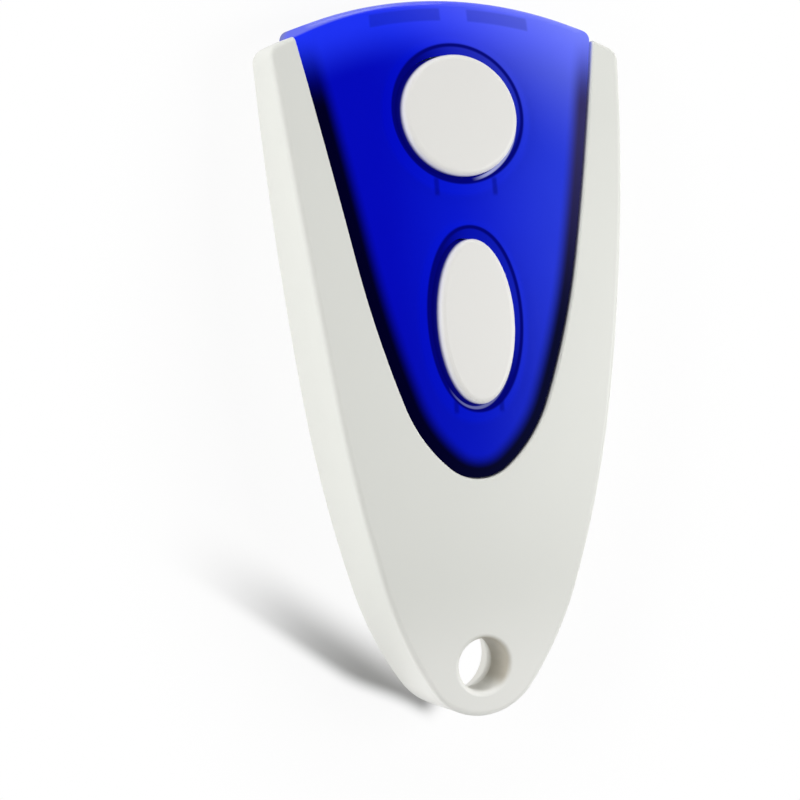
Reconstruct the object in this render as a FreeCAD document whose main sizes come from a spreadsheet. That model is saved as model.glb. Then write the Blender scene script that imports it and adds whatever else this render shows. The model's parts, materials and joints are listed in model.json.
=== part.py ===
import FreeCAD, Part
import math
import os
import re
import Sketcher

# A two-button garage door remote that lies on its flat back.
# X runs across it, Y along it from the keyring tip to the blue end, Z up through the buttons.
# Plan distances are measured from the tip, and every depth is measured below the bowed front.

SIZES = {
    # housing outline
    "overall_length": 70.3,
    "end_radius": 42.0,
    "wing_step": 0.6,
    "wing_corner": 1.4,
    "nose_radius": 6.46,
    "nose_heading": 35.3,
    "lower_side_radius": 35.3,
    "lower_heading": 17.6,
    "middle_side_radius": 132.3,
    "middle_heading": 9.33,
    "upper_side_radius": 390.0,
    # bowed front
    "crown_height": 10.3,
    "crown_distance": 22.6,
    "end_height": 4.78,
    "front_edge": 0.55,
    # housing walls
    "face_thickness": 1.5,
    "side_wall": 1.6,
    "floor_thickness": 0.8,
    "floor_border": 1.0,
    "recess_edge": 0.2,
    "seam_height": 0.9,
    "seam_step": 0.1,
    "back_edge": 0.4,
    "rear_floor": 1.2,
    "rim_wall": 0.8,
    "rim_gap": 0.1,
    # translucent cover
    "cover_thickness": 1.2,
    "cover_gap": 0.08,
    "cover_corner": 1.0,
    "cover_edge": 0.8,
    "cover_nose_margin": 7.2,
    "cover_nose_radius": 4.8,
    "cover_nose_heading": 51.0,
    "cover_lower_radius": 14.7,
    "cover_lower_heading": 21.0,
    "cover_middle_radius": 90.0,
    "cover_middle_heading": 11.4,
    "cover_upper_radius": 1380.0,
    "hook_width": 6.6,
    "hook_spacing": 9.2,
    "hook_length": 0.9,
    "hook_foot": 0.1,
    "hook_slot_gap": 0.15,
    # keyring hole
    "key_distance": 5.1,
    "key_radius": 2.6,
    "key_lip": 0.5,
    "key_flare_height": 5.4,
    "key_flare_radius": 3.95,
    "nose_wall": 1.5,
    # buttons
    "round_from_end": 11.6,
    "round_radius": 6.0,
    "oval_half_width": 3.95,
    "oval_share": 0.567,
    "button_rise": 1.35,
    "button_edge": 0.55,
    "button_skin": 1.1,
    "button_gap": 0.15,
    "button_ring": 0.95,
    "button_travel": 0.3,
    "lug_reach": 1.1,
    "lug_width": 4.0,
    "lug_thickness": 0.4,
    "lug_gap": 0.05,
    "round_tab_width": 6.0,
    "oval_tab_width": 4.8,
    "round_tab_reach": 1.5,
    "oval_tab_reach": 0.7,
    "tab_gap": 0.15,
    "post_radius": 1.2,
    "post_gap": 0.05,
    # circuit board
    "board_height": 1.9,
    "board_thickness": 1.0,
    "board_gap": 0.3,
    "pillar_radius": 0.8,
    "upper_pillar_from_end": 8.0,
    "upper_pillar_offset": 10.0,
    "lower_pillar_from_oval": -2.2,
    "lower_pillar_offset": 12.2,
    "track_margin": 0.6,
    "track_width": 1.2,
    "track_from_end": 14.0,
    "track_thickness": 0.07,
    # screws and their bosses
    "boss_radius": 1.7,
    "boss_overlap": 0.4,
    "pilot_radius": 0.8,
    "screw_grip": 4.4,
    "screw_head_radius": 1.6,
    "screw_head_height": 0.7,
    "screw_sink": 0.1,
    "screw_slot_length": 2.0,
    "screw_slot_width": 0.45,
    "screw_slot_depth": 0.35,
    "screw_pad_radius": 2.5,
    "screw_hole_radius": 1.0,
    "screw_fit": 0.15,
    "upper_screw_from_end": 17.0,
    "upper_screw_offset": 12.0,
    # push switches
    "switch_side": 5.6,
    "switch_well_floor": 0.35,
    "switch_well_radius": 2.1,
    "switch_frame": 0.18,
    "switch_frame_skirt": 0.9,
    "switch_leg_length": 0.7,
    "switch_leg_width": 0.8,
    "switch_leg_offset": 2.0,
    "dome_pressed_height": 0.06,
    "dome_radius": 2.0,
    "dome_thickness": 0.08,
    "dome_gap": 0.05,
    "plunger_radius": 1.45,
    "plunger_gap": 0.1,
    "plunger_flange": 0.35,
    "plunger_flange_gap": 0.04,
    "plunger_stub": 0.1,
    # coin cell and its contacts
    "cell_radius": 10.0,
    "cell_height": 3.2,
    "cell_step": 1.1,
    "cell_step_height": 0.3,
    "cell_edge": 0.3,
    "cell_to_switch": 0.8,
    "cell_from_board_end": 2.2,
    "contact_thickness": 0.2,
    "contact_side": 9.0,
    "clip_thickness": 0.25,
    "clip_width": 8.0,
    "clip_hole_radius": 2.0,
    "clip_gap": 0.05,
    # chips and small parts
    "chip_height": 1.4,
    "chip_standoff": 0.1,
    "chip_width": 3.9,
    "chip_leg_pitch": 1.27,
    "chip_leg_width": 0.42,
    "chip_leg_thickness": 0.2,
    "chip_leg_reach": 1.0,
    "leg_root": 0.1,
    "chip_length": 4.9,
    "chip_offset": 9.0,
    "chip_from_oval": 3.0,
    "can_width": 3.4,
    "can_length": 5.0,
    "can_height": 1.4,
    "can_base": 0.4,
    "can_from_oval": -2.7,
    "crystal_from_oval": -3.6,
    "crystal_width": 3.2,
    "crystal_length": 2.5,
    "crystal_height": 0.8,
    "trimmer_side": 3.6,
    "trimmer_height": 0.9,
    "trimmer_rotor_radius": 1.4,
    "trimmer_rotor_height": 0.5,
    "trimmer_slot": 0.5,
    "trimmer_from_round": -1.5,
    "trimmer_offset": 8.0,
    "transistor_width": 1.4,
    "transistor_length": 2.9,
    "transistor_height": 1.0,
    "transistor_from_round": -1.0,
    "transistor_offset": 7.6,
    "lamp_width": 3.0,
    "lamp_length": 1.5,
    "lamp_height": 0.5,
    "lamp_dome_radius": 0.65,
    "small_width": 1.25,
    "small_length": 2.0,
    "small_end": 0.4,
    "small_end_step": 0.05,
    "resistor_height": 0.5,
    "capacitor_height": 0.8,
    "small_pitch": 1.9,
    "small_offset": 12.2,
    "small_from_end": 13.4,
}
SMALL_COUNT = 4
CHIP_LEGS = 4

ORIGIN = FreeCAD.Vector(0, 0, 0)
UP = FreeCAD.Vector(0, 0, 1)
V_INDEX = -2
H_INDEX = -1
NEAR = 0.02

doc = FreeCAD.newDocument("GarageRemote")
sheet = doc.addObject("Spreadsheet::Sheet", "dims")
for row, (alias, size) in enumerate(SIZES.items(), start=1):
    sheet.set(f"A{row}", alias)
    sheet.set(f"B{row}", str(size))
    sheet.setAlias(f"B{row}", alias)
reading = doc.addObject("App::FeaturePython", "Reading")
reading.addProperty("App::PropertyFloat", "Value")
doc.recompute()

# Places and heights that follow from the sizes, as expressions on the sheet.
TIP = "(-overall_length / 2)"
END_CENTRE = "(overall_length - end_radius)"
FRONT_DROP = "(crown_height - end_height)"
FRONT_RADIUS = f"(((overall_length - crown_distance) ^ 2 + {FRONT_DROP} ^ 2) / (2 * {FRONT_DROP}))"
FRONT_AXIS_HEIGHT = f"(crown_height - {FRONT_RADIUS})"
FLOOR_DEPTH = "(cover_thickness + floor_thickness)"
BOARD_TOP = "(board_height + board_thickness)"
BOARD_INSET = "(side_wall + board_gap)"
NOSE_BLOCK = "(key_distance + key_radius + nose_wall)"
LOWER_SCREW = f"({NOSE_BLOCK} + boss_radius - boss_overlap)"
UPPER_SCREW = "(overall_length - upper_screw_from_end)"
BOARD_START = f"({LOWER_SCREW} + boss_radius + board_gap)"
CELL_BOTTOM = f"({BOARD_TOP} + contact_thickness)"
CELL_END = "(cell_radius + clip_gap + clip_thickness)"
CELL = f"({BOARD_START} + cell_from_board_end + {CELL_END})"
ROUND = "(overall_length - round_from_end)"
OVAL = f"({CELL} + cell_radius + cell_to_switch + switch_side / 2)"
OVAL_HALF_LENGTH = f"(oval_share * ({ROUND} - round_radius - {OVAL}))"
COVER_TIP = f"({OVAL} - {OVAL_HALF_LENGTH} - cover_nose_margin)"
DOME_HEIGHT = "(button_travel + dome_pressed_height)"
PLUNGER_FOOT = f"({DOME_HEIGHT} + dome_gap)"
WELL_DEPTH = f"({PLUNGER_FOOT} + plunger_flange + plunger_flange_gap)"
SWITCH_BASE = f"(switch_well_floor + {WELL_DEPTH})"
PLUNGER_TOP = f"({WELL_DEPTH} + switch_frame + button_travel + plunger_stub)"
SWITCH_TOP = f"({BOARD_TOP} + switch_well_floor + {PLUNGER_TOP})"
POST_END = f"({SWITCH_TOP} + post_gap)"
ABOVE = "2 * crown_height"
SCREW_SPOTS = {
    "Lower": ("0", LOWER_SCREW),
    "Right": ("upper_screw_offset", UPPER_SCREW),
    "Left": ("-upper_screw_offset", UPPER_SCREW),
}
PILLAR_SPOTS = {
    "UpperRight": ("upper_pillar_offset", "overall_length - upper_pillar_from_end"),
    "UpperLeft": ("-upper_pillar_offset", "overall_length - upper_pillar_from_end"),
    "LowerRight": ("lower_pillar_offset", f"{OVAL} + lower_pillar_from_oval"),
    "LowerLeft": ("-lower_pillar_offset", f"{OVAL} + lower_pillar_from_oval"),
}


def cells(text):
    """The expression with every size name turned into a reference to its cell."""
    def cell(found):
        return f"dims.{found[0]}" if found[0] in SIZES else found[0]
    return re.sub(r"[a-z][a-z_]+", cell, text)


def bind(target, bindings):
    for path, text in bindings.items():
        target.setExpression(path, cells(text))


def number(text):
    """The present value of an expression on the sheet."""
    bind(reading, {"Value": text})
    reading.recompute()
    return reading.Value


def front_height(distance, depth="0"):
    """Height of the bowed surface that lies so deep below the front, so far from the tip."""
    return (
        f"({FRONT_AXIS_HEIGHT} + sqrt(({FRONT_RADIUS} - {depth}) ^ 2"
        f" - ({distance} - crown_distance) ^ 2))"
    )


# Solids from Part primitives and booleans

def part_object(kind, name, bindings, **settings):
    made = doc.addObject(kind, name)
    for key, setting in settings.items():
        setattr(made, key, setting)
    bind(made, bindings)
    return made


def place(x="0", distance="0", z="0"):
    return {
        "Placement.Base.x": x,
        "Placement.Base.y": f"{TIP} + {distance}",
        "Placement.Base.z": z,
    }


def box(name, size, centre, z):
    """A box of the given width and length around a plan point, standing on height z."""
    width, length, height = size
    x, distance = centre
    spot = place(f"{x} - ({width}) / 2", f"{distance} - ({length}) / 2", z)
    return part_object("Part::Box", name, {"Width": length, "Length": width, "Height": height, **spot})


def cylinder(name, radius, centre, z, height):
    x, distance = centre
    spot = place(x, distance, z)
    return part_object("Part::Cylinder", name, {"Radius": radius, "Height": height, **spot})


def cone(name, lower, upper, centre, z, height):
    x, distance = centre
    sizes = {"Radius1": lower, "Radius2": upper, "Height": height}
    return part_object("Part::Cone", name, {**sizes, **place(x, distance, z)})


def below(name, depth):
    """Everything under the bowed surface that lies so deep below the front."""
    solid = doc.addObject("Part::Cylinder", name)
    solid.Placement = FreeCAD.Placement(ORIGIN, FreeCAD.Rotation(FreeCAD.Vector(0, 1, 0), 90))
    spot = place("-overall_length / 2", "crown_distance", FRONT_AXIS_HEIGHT)
    bind(solid, {"Radius": f"{FRONT_RADIUS} - ({depth})", "Height": "overall_length", **spot})
    return solid


def beyond(name, distance):
    """Everything that lies farther from the tip than a distance."""
    middle = f"{distance} + overall_length / 2"
    return box(name, ("overall_length", "overall_length", ABOVE), ("0", middle), "0")


def cut(name, base, tool):
    return part_object("Part::Cut", name, {}, Base=base, Tool=tool)


def common(name, *shapes):
    return part_object("Part::MultiCommon", name, {}, Shapes=list(shapes))


def fuse(name, *shapes):
    return part_object("Part::MultiFuse", name, {}, Shapes=list(shapes))


def offset(name, outline, distance):
    return part_object("Part::Offset2D", name, {"Value": distance}, Source=outline)


def extrude(name, outline, start, end):
    reach = {"LengthRev": f"-({start})", "LengthFwd": end}
    return part_object("Part::Extrusion", name, reach, Base=outline, DirMode="Normal", Solid=True)


def round_edges(name, base, radius, wanted):
    """Rounds the edges that the test picks."""
    doc.recompute()
    picked = [index for index, edge in enumerate(base.Shape.Edges, start=1) if wanted(edge)]
    if not picked:
        raise ValueError(f"{name} found no edge to round")
    value = number(radius)
    edges = [(index, value, value) for index in picked]
    return part_object("Part::Fillet", name, {}, Base=base, Edges=edges)


def is_end_corner(radius):
    """A test for upright edges at the ends of the end arc."""
    def test(edge):
        spot = edge.CenterOfMass
        upright = max(edge.BoundBox.XLength, edge.BoundBox.YLength) < NEAR
        from_centre = math.hypot(spot.x, spot.y - number(f"{TIP} + {END_CENTRE}"))
        return upright and abs(from_centre - number(radius)) < NEAR
    return test


def lies_on_front(edge, depth="0"):
    """Whether both ends and the middle of an edge are on the bowed surface."""
    first, last = edge.ParameterRange
    spots = [edge.valueAt(first), edge.valueAt((first + last) / 2), edge.valueAt(last)]
    axis_y = number(f"{TIP} + crown_distance")
    axis_z = number(FRONT_AXIS_HEIGHT)
    radius = number(f"{FRONT_RADIUS} - ({depth})")
    return all(abs(math.hypot(spot.y - axis_y, spot.z - axis_z) - radius) < NEAR for spot in spots)


# Outlines

def circles_meet(centre, radius, end_height, end_radius):
    """Where a side arc meets the arc of the blue end, on the right."""
    across = centre[0]
    along = end_height - centre[1]
    apart = math.hypot(across, along)
    reach = (radius ** 2 - end_radius ** 2 + apart ** 2) / (2 * apart)
    rise = math.sqrt(radius ** 2 - reach ** 2)
    toward = (-across / apart, along / apart)
    foot = (centre[0] + reach * toward[0], centre[1] + reach * toward[1])
    return foot[0] - rise * toward[1], foot[1] + rise * toward[0]


def drop_outline(name, tip, nose, sides, headings, end_centre, end_radius):
    """A drop shape: a nose arc, three tangent arcs up each side and one arc across the end.

    Each heading is the angle between the outline and the length of the object where two arcs join.
    """
    sketch = doc.addObject("Sketcher::SketchObject", name)
    bind(sketch, {"Placement.Base.y": TIP})
    nose_value = number(nose)
    side_values = [number(text) for text in sides]
    angles = [math.radians(number(text)) for text in headings]
    nose_centre = number(f"{tip} + {nose}")
    end_height = number(end_centre)
    end_value = number(end_radius)

    centres = []
    x = nose_value * math.cos(angles[0])
    y = nose_centre - nose_value * math.sin(angles[0])
    for index, radius in enumerate(side_values):
        start = angles[index]
        centres.append((x - radius * math.cos(start), y + radius * math.sin(start)))
        if index + 1 < len(angles):
            stop = angles[index + 1]
            x = centres[index][0] + radius * math.cos(stop)
            y = centres[index][1] - radius * math.sin(stop)
    corner = circles_meet(centres[2], side_values[2], end_height, end_value)
    last = -math.atan2(corner[1] - centres[2][1], corner[0] - centres[2][0])
    angles.append(last)
    corner_angle = math.atan2(corner[1] - end_height, corner[0])

    def arc(centre, radius, first, second):
        circle = Part.Circle(FreeCAD.Vector(centre[0], centre[1], 0), UP, radius)
        return sketch.addGeometry(Part.ArcOfCircle(circle, first, second), False)

    nose_arc = arc((0, nose_centre), nose_value, angles[0] - math.pi, -angles[0])
    right = [arc(centres[i], side_values[i], -angles[i], -angles[i + 1]) for i in range(3)]
    end_arc = arc((0, end_height), end_value, corner_angle, math.pi - corner_angle)
    left = [
        arc((-centres[i][0], centres[i][1]), side_values[i], math.pi + angles[i + 1], math.pi + angles[i])
        for i in range(3)
    ]

    def constrain(kind, *data):
        return sketch.addConstraint(Sketcher.Constraint(kind, *data))

    def drive(text, kind, *data):
        index = constrain(kind, *data, number(text) if kind != "Angle" else math.radians(number(text)))
        bind(sketch, {f"Constraints[{index}]": text})

    constrain("Tangent", nose_arc, 2, right[0], 1)
    constrain("Tangent", right[0], 2, right[1], 1)
    constrain("Tangent", right[1], 2, right[2], 1)
    constrain("Coincident", right[2], 2, end_arc, 1)
    constrain("Coincident", end_arc, 2, left[2], 1)
    constrain("Tangent", left[2], 2, left[1], 1)
    constrain("Tangent", left[1], 2, left[0], 1)
    constrain("Tangent", left[0], 2, nose_arc, 1)
    for right_arc, left_arc in zip(right, left):
        constrain("Equal", right_arc, left_arc)
    constrain("Horizontal", nose_arc, 1, nose_arc, 2)
    constrain("Horizontal", right[0], 2, left[0], 1)
    constrain("Horizontal", right[1], 2, left[1], 1)
    constrain("PointOnObject", nose_arc, 3, V_INDEX)
    constrain("PointOnObject", end_arc, 3, V_INDEX)
    drive(nose, "Radius", nose_arc)
    for arc_index, radius in zip(right, sides):
        drive(radius, "Radius", arc_index)
    drive(end_radius, "Radius", end_arc)
    drive(f"180 - 2 * {headings[0]}", "Angle", nose_arc)
    drive(f"{headings[0]} - {headings[1]}", "Angle", right[0])
    drive(f"{headings[1]} - {headings[2]}", "Angle", right[1])
    drive(f"{tip} + {nose}", "DistanceY", H_INDEX, 1, nose_arc, 3)
    drive(end_centre, "DistanceY", H_INDEX, 1, end_arc, 3)
    return sketch


housing_outline = drop_outline(
    "HousingOutline",
    "0",
    "nose_radius",
    ["lower_side_radius", "middle_side_radius", "upper_side_radius"],
    ["nose_heading", "lower_heading", "middle_heading"],
    END_CENTRE,
    "end_radius - wing_step",
)
cover_outline = drop_outline(
    "CoverOutline",
    COVER_TIP,
    "cover_nose_radius",
    ["cover_lower_radius", "cover_middle_radius", "cover_upper_radius"],
    ["cover_nose_heading", "cover_lower_heading", "cover_middle_heading"],
    END_CENTRE,
    "end_radius",
)
under_front = below("UnderFront", "0")
under_cover = below("UnderCover", "cover_thickness")
under_floor = below("UnderFloor", FLOOR_DEPTH)
under_face = below("UnderFace", "face_thickness")
END_SPOT = ("0", END_CENTRE)


def button_column(name, shape, margin, start, end=ABOVE):
    """An upright column with a button's plan, grown all round by a margin."""
    if shape == "round":
        return cylinder(name, f"round_radius + {margin}", ("0", ROUND), start, f"{end} - ({start})")
    plan = doc.addObject("Part::Ellipse", f"{name}Plan")
    plan.Placement = FreeCAD.Placement(ORIGIN, FreeCAD.Rotation(UP, 90))
    bind(plan, {
        "MajorRadius": f"{OVAL_HALF_LENGTH} + {margin}",
        "MinorRadius": f"oval_half_width + {margin}",
        "Placement.Base.y": f"{TIP} + {OVAL}",
    })
    return extrude(name, plan, start, end)


def tab_block(name, shape, margin):
    """The locating tab on a button's lower side, grown by a margin at its sides and foot."""
    centre = ROUND if shape == "round" else OVAL
    half = "round_radius" if shape == "round" else OVAL_HALF_LENGTH
    length = f"({half} + {shape}_tab_reach + {margin})"
    width = f"{shape}_tab_width + 2 * {margin}"
    return box(name, (width, length, ABOVE), ("0", f"{centre} - {length} / 2"), BOARD_TOP)


def make_front_shell():
    raw = extrude("ShellBlock", housing_outline, "seam_height", ABOVE)
    corners = is_end_corner("end_radius - wing_step")
    cornered = round_edges("ShellCorners", raw, "wing_corner", corners)
    bowed = common("ShellBowed", cornered, under_front)
    rounded = round_edges("ShellRounded", bowed, "front_edge", lies_on_front)

    inner = extrude("CavityPlan", offset("CavityOutline", housing_outline, "-side_wall"), "0", ABOVE)
    hollow = common("Hollow", inner, under_face, beyond("CavityLength", NOSE_BLOCK))
    floor_plan = extrude("FloorPlan", offset("FloorOutline", cover_outline, "floor_border"), "0", ABOVE)
    cavity = cut("Cavity", hollow, cut("FloorSlab", floor_plan, under_floor))

    recess = make_cover_block("Recess", "cover_gap")
    columns = [
        cylinder(f"{side}Boss", "boss_radius", spot, "board_height", "crown_height")
        for side, spot in SCREW_SPOTS.items()
    ]
    columns += [
        cylinder(f"{side}Pillar", "pillar_radius", spot, BOARD_TOP, "crown_height")
        for side, spot in PILLAR_SPOTS.items()
    ]
    roots = below("UnderRoots", "(cover_thickness + face_thickness) / 2")
    supports = common("Supports", fuse("SupportColumns", *columns), roots)
    shell = fuse("ShellWithBosses", cut("ShellHollow", rounded, cavity), supports)

    openings = [recess]
    for side, spot in SCREW_SPOTS.items():
        depth = "seam_height + screw_grip + screw_fit"
        openings.append(cylinder(f"{side}Pilot", "pilot_radius", spot, "0", depth))
    for shape in ("round", "oval"):
        openings.append(button_column(f"{shape.title()}FloorHole", shape, "button_gap", BOARD_TOP))
        openings.append(tab_block(f"{shape.title()}TabSlot", shape, "tab_gap"))
    for side, sign in (("Right", ""), ("Left", "-")):
        openings.append(hook_block(f"Hook{side}Slot", sign, "hook_slot_gap"))
    openings.append(cylinder("KeyBore", "key_radius", ("0", "key_distance"), "0", ABOVE))
    openings.append(key_flare("KeyFlareFront"))
    pierced = cut("ShellPierced", shell, fuse("ShellOpenings", *openings))
    lipped = round_edges("KeyLip", pierced, "key_lip", is_rim_around("key_distance", "key_radius"))
    return round_edges("FrontShell", lipped, "recess_edge", is_recess_rim)


def middle_of(edge):
    first, last = edge.ParameterRange
    return edge.valueAt((first + last) / 2)


def is_rim_around(distance, radius):
    """A test for edges of the front that ring a plan point on the centre line."""
    def test(edge):
        middle = middle_of(edge)
        apart = math.hypot(middle.x, middle.y - number(f"{TIP} + {distance}"))
        return lies_on_front(edge) and apart < number(radius) + NEAR
    return test


def is_recess_rim(edge):
    """The edge of the white face along the cover's recess."""
    middle = middle_of(edge)
    flat = Part.Vertex(FreeCAD.Vector(middle.x, middle.y, 0))
    gap = cover_outline.Shape.distToShape(flat)[0]
    return lies_on_front(edge) and gap < number("2 * cover_gap")


def key_flare(name):
    return cone(name, "key_flare_radius", "key_radius", ("0", "key_distance"), "0", "key_flare_height")


def hook_block(name, sign, margin):
    """A snap hook under the cover's end, which drops through a slot in the floor."""
    width = f"hook_width + 2 * {margin}"
    length = f"hook_length + 2 * {margin}"
    end_wall = "(overall_length - cover_thickness - hook_length)"
    foot = front_height(end_wall, f"({FLOOR_DEPTH} + hook_foot)")
    return box(name, (width, length, ABOVE), (f"{sign}hook_spacing / 2", end_wall), foot)


def make_cover_block(name, margin):
    """The cover without its button holes, grown by a margin where it meets the white shell."""
    outline = offset(f"{name}Outline", cover_outline, margin) if margin != "0" else cover_outline
    solid = extrude(f"{name}Plan", outline, "seam_height", ABOVE)
    inner_radius = f"end_radius - cover_thickness - {margin}"
    behind = cylinder(f"{name}Behind", inner_radius, END_SPOT, "0", ABOVE)
    return cut(f"{name}Block", solid, common(f"{name}Inside", behind, under_cover))


def make_blue_cover():
    block = common("CoverBowed", make_cover_block("Cover", "0"), under_front)
    cornered = round_edges("CoverCorners", block, "cover_corner", is_end_corner("end_radius"))
    rounded = round_edges("CoverRounded", cornered, "cover_edge", lies_on_front)
    holes = [
        button_column(f"{shape.title()}CoverHole", shape, "button_gap", BOARD_TOP)
        for shape in ("round", "oval")
    ]
    ringed = cut("CoverPierced", rounded, fuse("CoverHoles", *holes))
    for name, centre, reach in (("Round", ROUND, "round_radius"), ("Oval", OVAL, OVAL_HALF_LENGTH)):
        rim = is_rim_around(centre, f"{reach} + button_gap")
        ringed = round_edges(f"CoverRing{name}", ringed, "button_ring", rim)
    hooks = [hook_block(f"Hook{side}", sign, "0") for side, sign in (("Right", ""), ("Left", "-"))]
    under_skin = below("UnderSkin", "cover_thickness / 2")
    return fuse("BlueCover", ringed, common("CoverHooks", fuse("HookBlocks", *hooks), under_skin))


def make_button(shape):
    name = shape.title()
    centre = ROUND if shape == "round" else OVAL
    lug_depth = f"({FLOOR_DEPTH} + lug_gap)"
    foot_depth = f"({lug_depth} + lug_thickness)"
    top = below(f"{name}Top", "-button_rise")
    foot = below(f"{name}Foot", foot_depth)
    head = common(f"{name}Head", button_column(f"{name}Column", shape, "0", BOARD_TOP), top)
    crowned = round_edges(f"{name}Crowned", head, "button_edge",
                          lambda edge: lies_on_front(edge, "-button_rise"))

    half_width = "round_radius" if shape == "round" else "oval_half_width"
    span = f"2 * ({half_width} + lug_reach)"
    lug_block = box(f"{name}LugBlock", (span, "lug_width", ABOVE), ("0", centre), BOARD_TOP)
    lugs = common(f"{name}Lugs", lug_block, below(f"{name}LugTop", lug_depth))
    tab_top = below(f"{name}TabTop", "cover_thickness + lug_gap")
    tab = common(f"{name}Tab", tab_block(f"{name}TabBlock", shape, "0"), tab_top)
    outside = cut(f"{name}Outside", fuse(f"{name}Body", crowned, lugs, tab), foot)

    hollow = common(
        f"{name}Hollow",
        button_column(f"{name}HollowColumn", shape, "-button_skin", BOARD_TOP),
        below(f"{name}Ceiling", "button_skin - button_rise"),
    )
    post = common(
        f"{name}Post",
        cylinder(f"{name}PostColumn", "post_radius", ("0", centre), POST_END, "crown_height"),
        below(f"{name}PostRoot", "button_skin / 2 - button_rise"),
    )
    return fuse(f"{name}Button", cut(f"{name}Cap", outside, hollow), post)


def make_rear_cover():
    flange_outline = offset("FlangeOutline", housing_outline, "-seam_step")
    flange = extrude("Flange", flange_outline, "0", "seam_height")
    corners = is_end_corner("end_radius - wing_step - seam_step")
    cornered = round_edges("FlangeCorners", flange, "wing_corner - seam_step", corners)
    rounded = round_edges("FlangeRounded", cornered, "back_edge", lambda edge: edge.BoundBox.ZMax < NEAR)
    rim_start = f"({NOSE_BLOCK} + rim_gap)"
    floor_start = f"({rim_start} + rim_wall)"
    outer = offset("RimOutline", housing_outline, "-side_wall - rim_gap")
    inner = offset("RimInner", housing_outline, "-side_wall - rim_gap - rim_wall")
    whole = beyond("RimLength", rim_start)
    rim_block = common("RimBlock", extrude("RimOutside", outer, "seam_height / 2", "board_height"), whole)
    hollow = extrude("RimInside", inner, "rear_floor", ABOVE)
    rim_room = common("RimRoom", hollow, beyond("FloorLength", floor_start))
    rim = cut("Rim", rim_block, rim_room)

    pad_height = "board_height - seam_height / 2"
    pads = [
        cylinder(f"{side}Pad", "screw_pad_radius", spot, "seam_height / 2", pad_height)
        for side, spot in SCREW_SPOTS.items()
    ]
    solid = fuse("RearSolid", rounded, rim, common("RearPads", fuse("PadColumns", *pads), whole))
    holes = [key_flare("KeyFlareBack")]
    for side, spot in SCREW_SPOTS.items():
        head = "screw_head_radius + screw_fit"
        holes.append(cylinder(f"{side}HeadHole", head, spot, "0", "screw_sink + screw_head_height"))
        holes.append(cylinder(f"{side}ScrewHole", "screw_hole_radius", spot, "0", ABOVE))
    return cut("RearCover", solid, fuse("RearHoles", *holes))


def make_circuit_board():
    outline = offset("BoardOutline", housing_outline, f"-{BOARD_INSET}")
    slab = extrude("BoardPlan", outline, "board_height", BOARD_TOP)
    room = beyond("BoardLength", BOARD_START)
    holes = [
        cylinder(f"BoardHole{side}", "boss_radius + board_gap", SCREW_SPOTS[side], "0", ABOVE)
        for side in ("Right", "Left")
    ]
    return cut("CircuitBoard", common("BoardSlab", slab, room), fuse("BoardHoles", *holes))


def make_antenna_track():
    inset = f"({BOARD_INSET} + track_margin)"
    outside = extrude("TrackOutside", offset("TrackOuter", housing_outline, f"-{inset}"),
                      BOARD_TOP, f"{BOARD_TOP} + track_thickness")
    inner = offset("TrackInner", housing_outline, f"-({inset} + track_width)")
    loop = cut("TrackLoop", outside, extrude("TrackInside", inner, "0", ABOVE))
    return common("AntennaTrack", loop, beyond("TrackLength", "overall_length - track_from_end"))


# Small parts as sketched bodies

def body_at(name, x="0", distance="0", z="0"):
    body = doc.addObject("PartDesign::Body", name)
    bind(body, place(x, distance, z))
    return body


def origin_plane(body, role):
    return next(feature for feature in body.Origin.OriginFeatures if feature.Role == role)


def new_sketch(body, name, role="XY_Plane"):
    sketch = body.newObject("Sketcher::SketchObject", name)
    sketch.AttachmentSupport = [(origin_plane(body, role), "")]
    sketch.MapMode = "FlatFace"
    return sketch


def polygon(sketch, corners):
    """A closed polygon whose corners are expressions, driven from the sketch's origin."""
    start = sketch.GeometryCount
    spots = [FreeCAD.Vector(number(x), number(y), 0) for x, y in corners]
    for index, spot in enumerate(spots):
        sketch.addGeometry(Part.LineSegment(spot, spots[(index + 1) % len(spots)]), False)
    for index, (x, y) in enumerate(corners):
        line = start + index
        previous = start + (index - 1) % len(corners)
        sketch.addConstraint(Sketcher.Constraint("Coincident", previous, 2, line, 1))
        for kind, text, axis in (("DistanceX", x, V_INDEX), ("DistanceY", y, H_INDEX)):
            if text == "0":
                sketch.addConstraint(Sketcher.Constraint("PointOnObject", line, 1, axis))
            else:
                driven = sketch.addConstraint(Sketcher.Constraint(kind, H_INDEX, 1, line, 1, number(text)))
                bind(sketch, {f"Constraints[{driven}]": text})
    return sketch


def rectangle(sketch, width, length, x="0", y="0"):
    low_x, high_x = f"{x} - ({width}) / 2", f"{x} + ({width}) / 2"
    low_y, high_y = f"{y} - ({length}) / 2", f"{y} + ({length}) / 2"
    return polygon(sketch, [(low_x, low_y), (high_x, low_y), (high_x, high_y), (low_x, high_y)])


def circle(sketch, radius, x="0", y="0"):
    centre = FreeCAD.Vector(number(x), number(y), 0)
    index = sketch.addGeometry(Part.Circle(centre, UP, number(radius)), False)
    driven = sketch.addConstraint(Sketcher.Constraint("Radius", index, number(radius)))
    bind(sketch, {f"Constraints[{driven}]": radius})
    for kind, text, axis in (("DistanceX", x, V_INDEX), ("DistanceY", y, H_INDEX)):
        if text == "0":
            sketch.addConstraint(Sketcher.Constraint("PointOnObject", index, 3, axis))
        else:
            driven = sketch.addConstraint(Sketcher.Constraint(kind, H_INDEX, 1, index, 3, number(text)))
            bind(sketch, {f"Constraints[{driven}]": text})
    return sketch


def feature(body, kind, name, profile, bindings, **settings):
    made = body.newObject(kind, name)
    made.Profile = profile
    for key, setting in settings.items():
        setattr(made, key, setting)
    bind(made, bindings)
    return made


def pad(body, profile, length, **settings):
    return feature(body, "PartDesign::Pad", f"{profile.Name}Pad", profile, {"Length": length}, **settings)


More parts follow.
